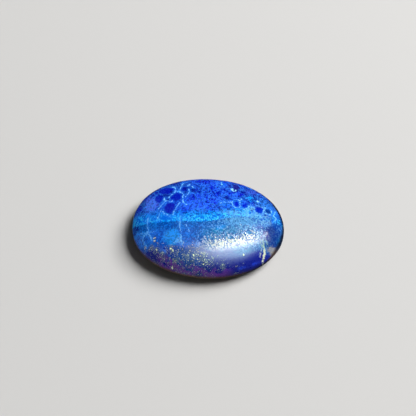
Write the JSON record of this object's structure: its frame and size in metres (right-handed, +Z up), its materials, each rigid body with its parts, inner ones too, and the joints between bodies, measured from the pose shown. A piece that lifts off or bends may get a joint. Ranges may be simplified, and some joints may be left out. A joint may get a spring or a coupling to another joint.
{
  "type": "lapis lazuli",
  "caption": "Polished oval cabochon of lapis lazuli with a domed top and a flattened back.",
  "frame": {"origin": "on the ground under the middle of the stone's bounding box", "axes": "+X along the stone's length, +Y across its width, +Z up out of the dome"},
  "size_m": [0.045, 0.0332, 0.0102],
  "materials": {
    "lapis": "polished"
  },
  "bodies": {
    "root": {"lapis_stone": "lapis"}
  },
  "joints": []
}
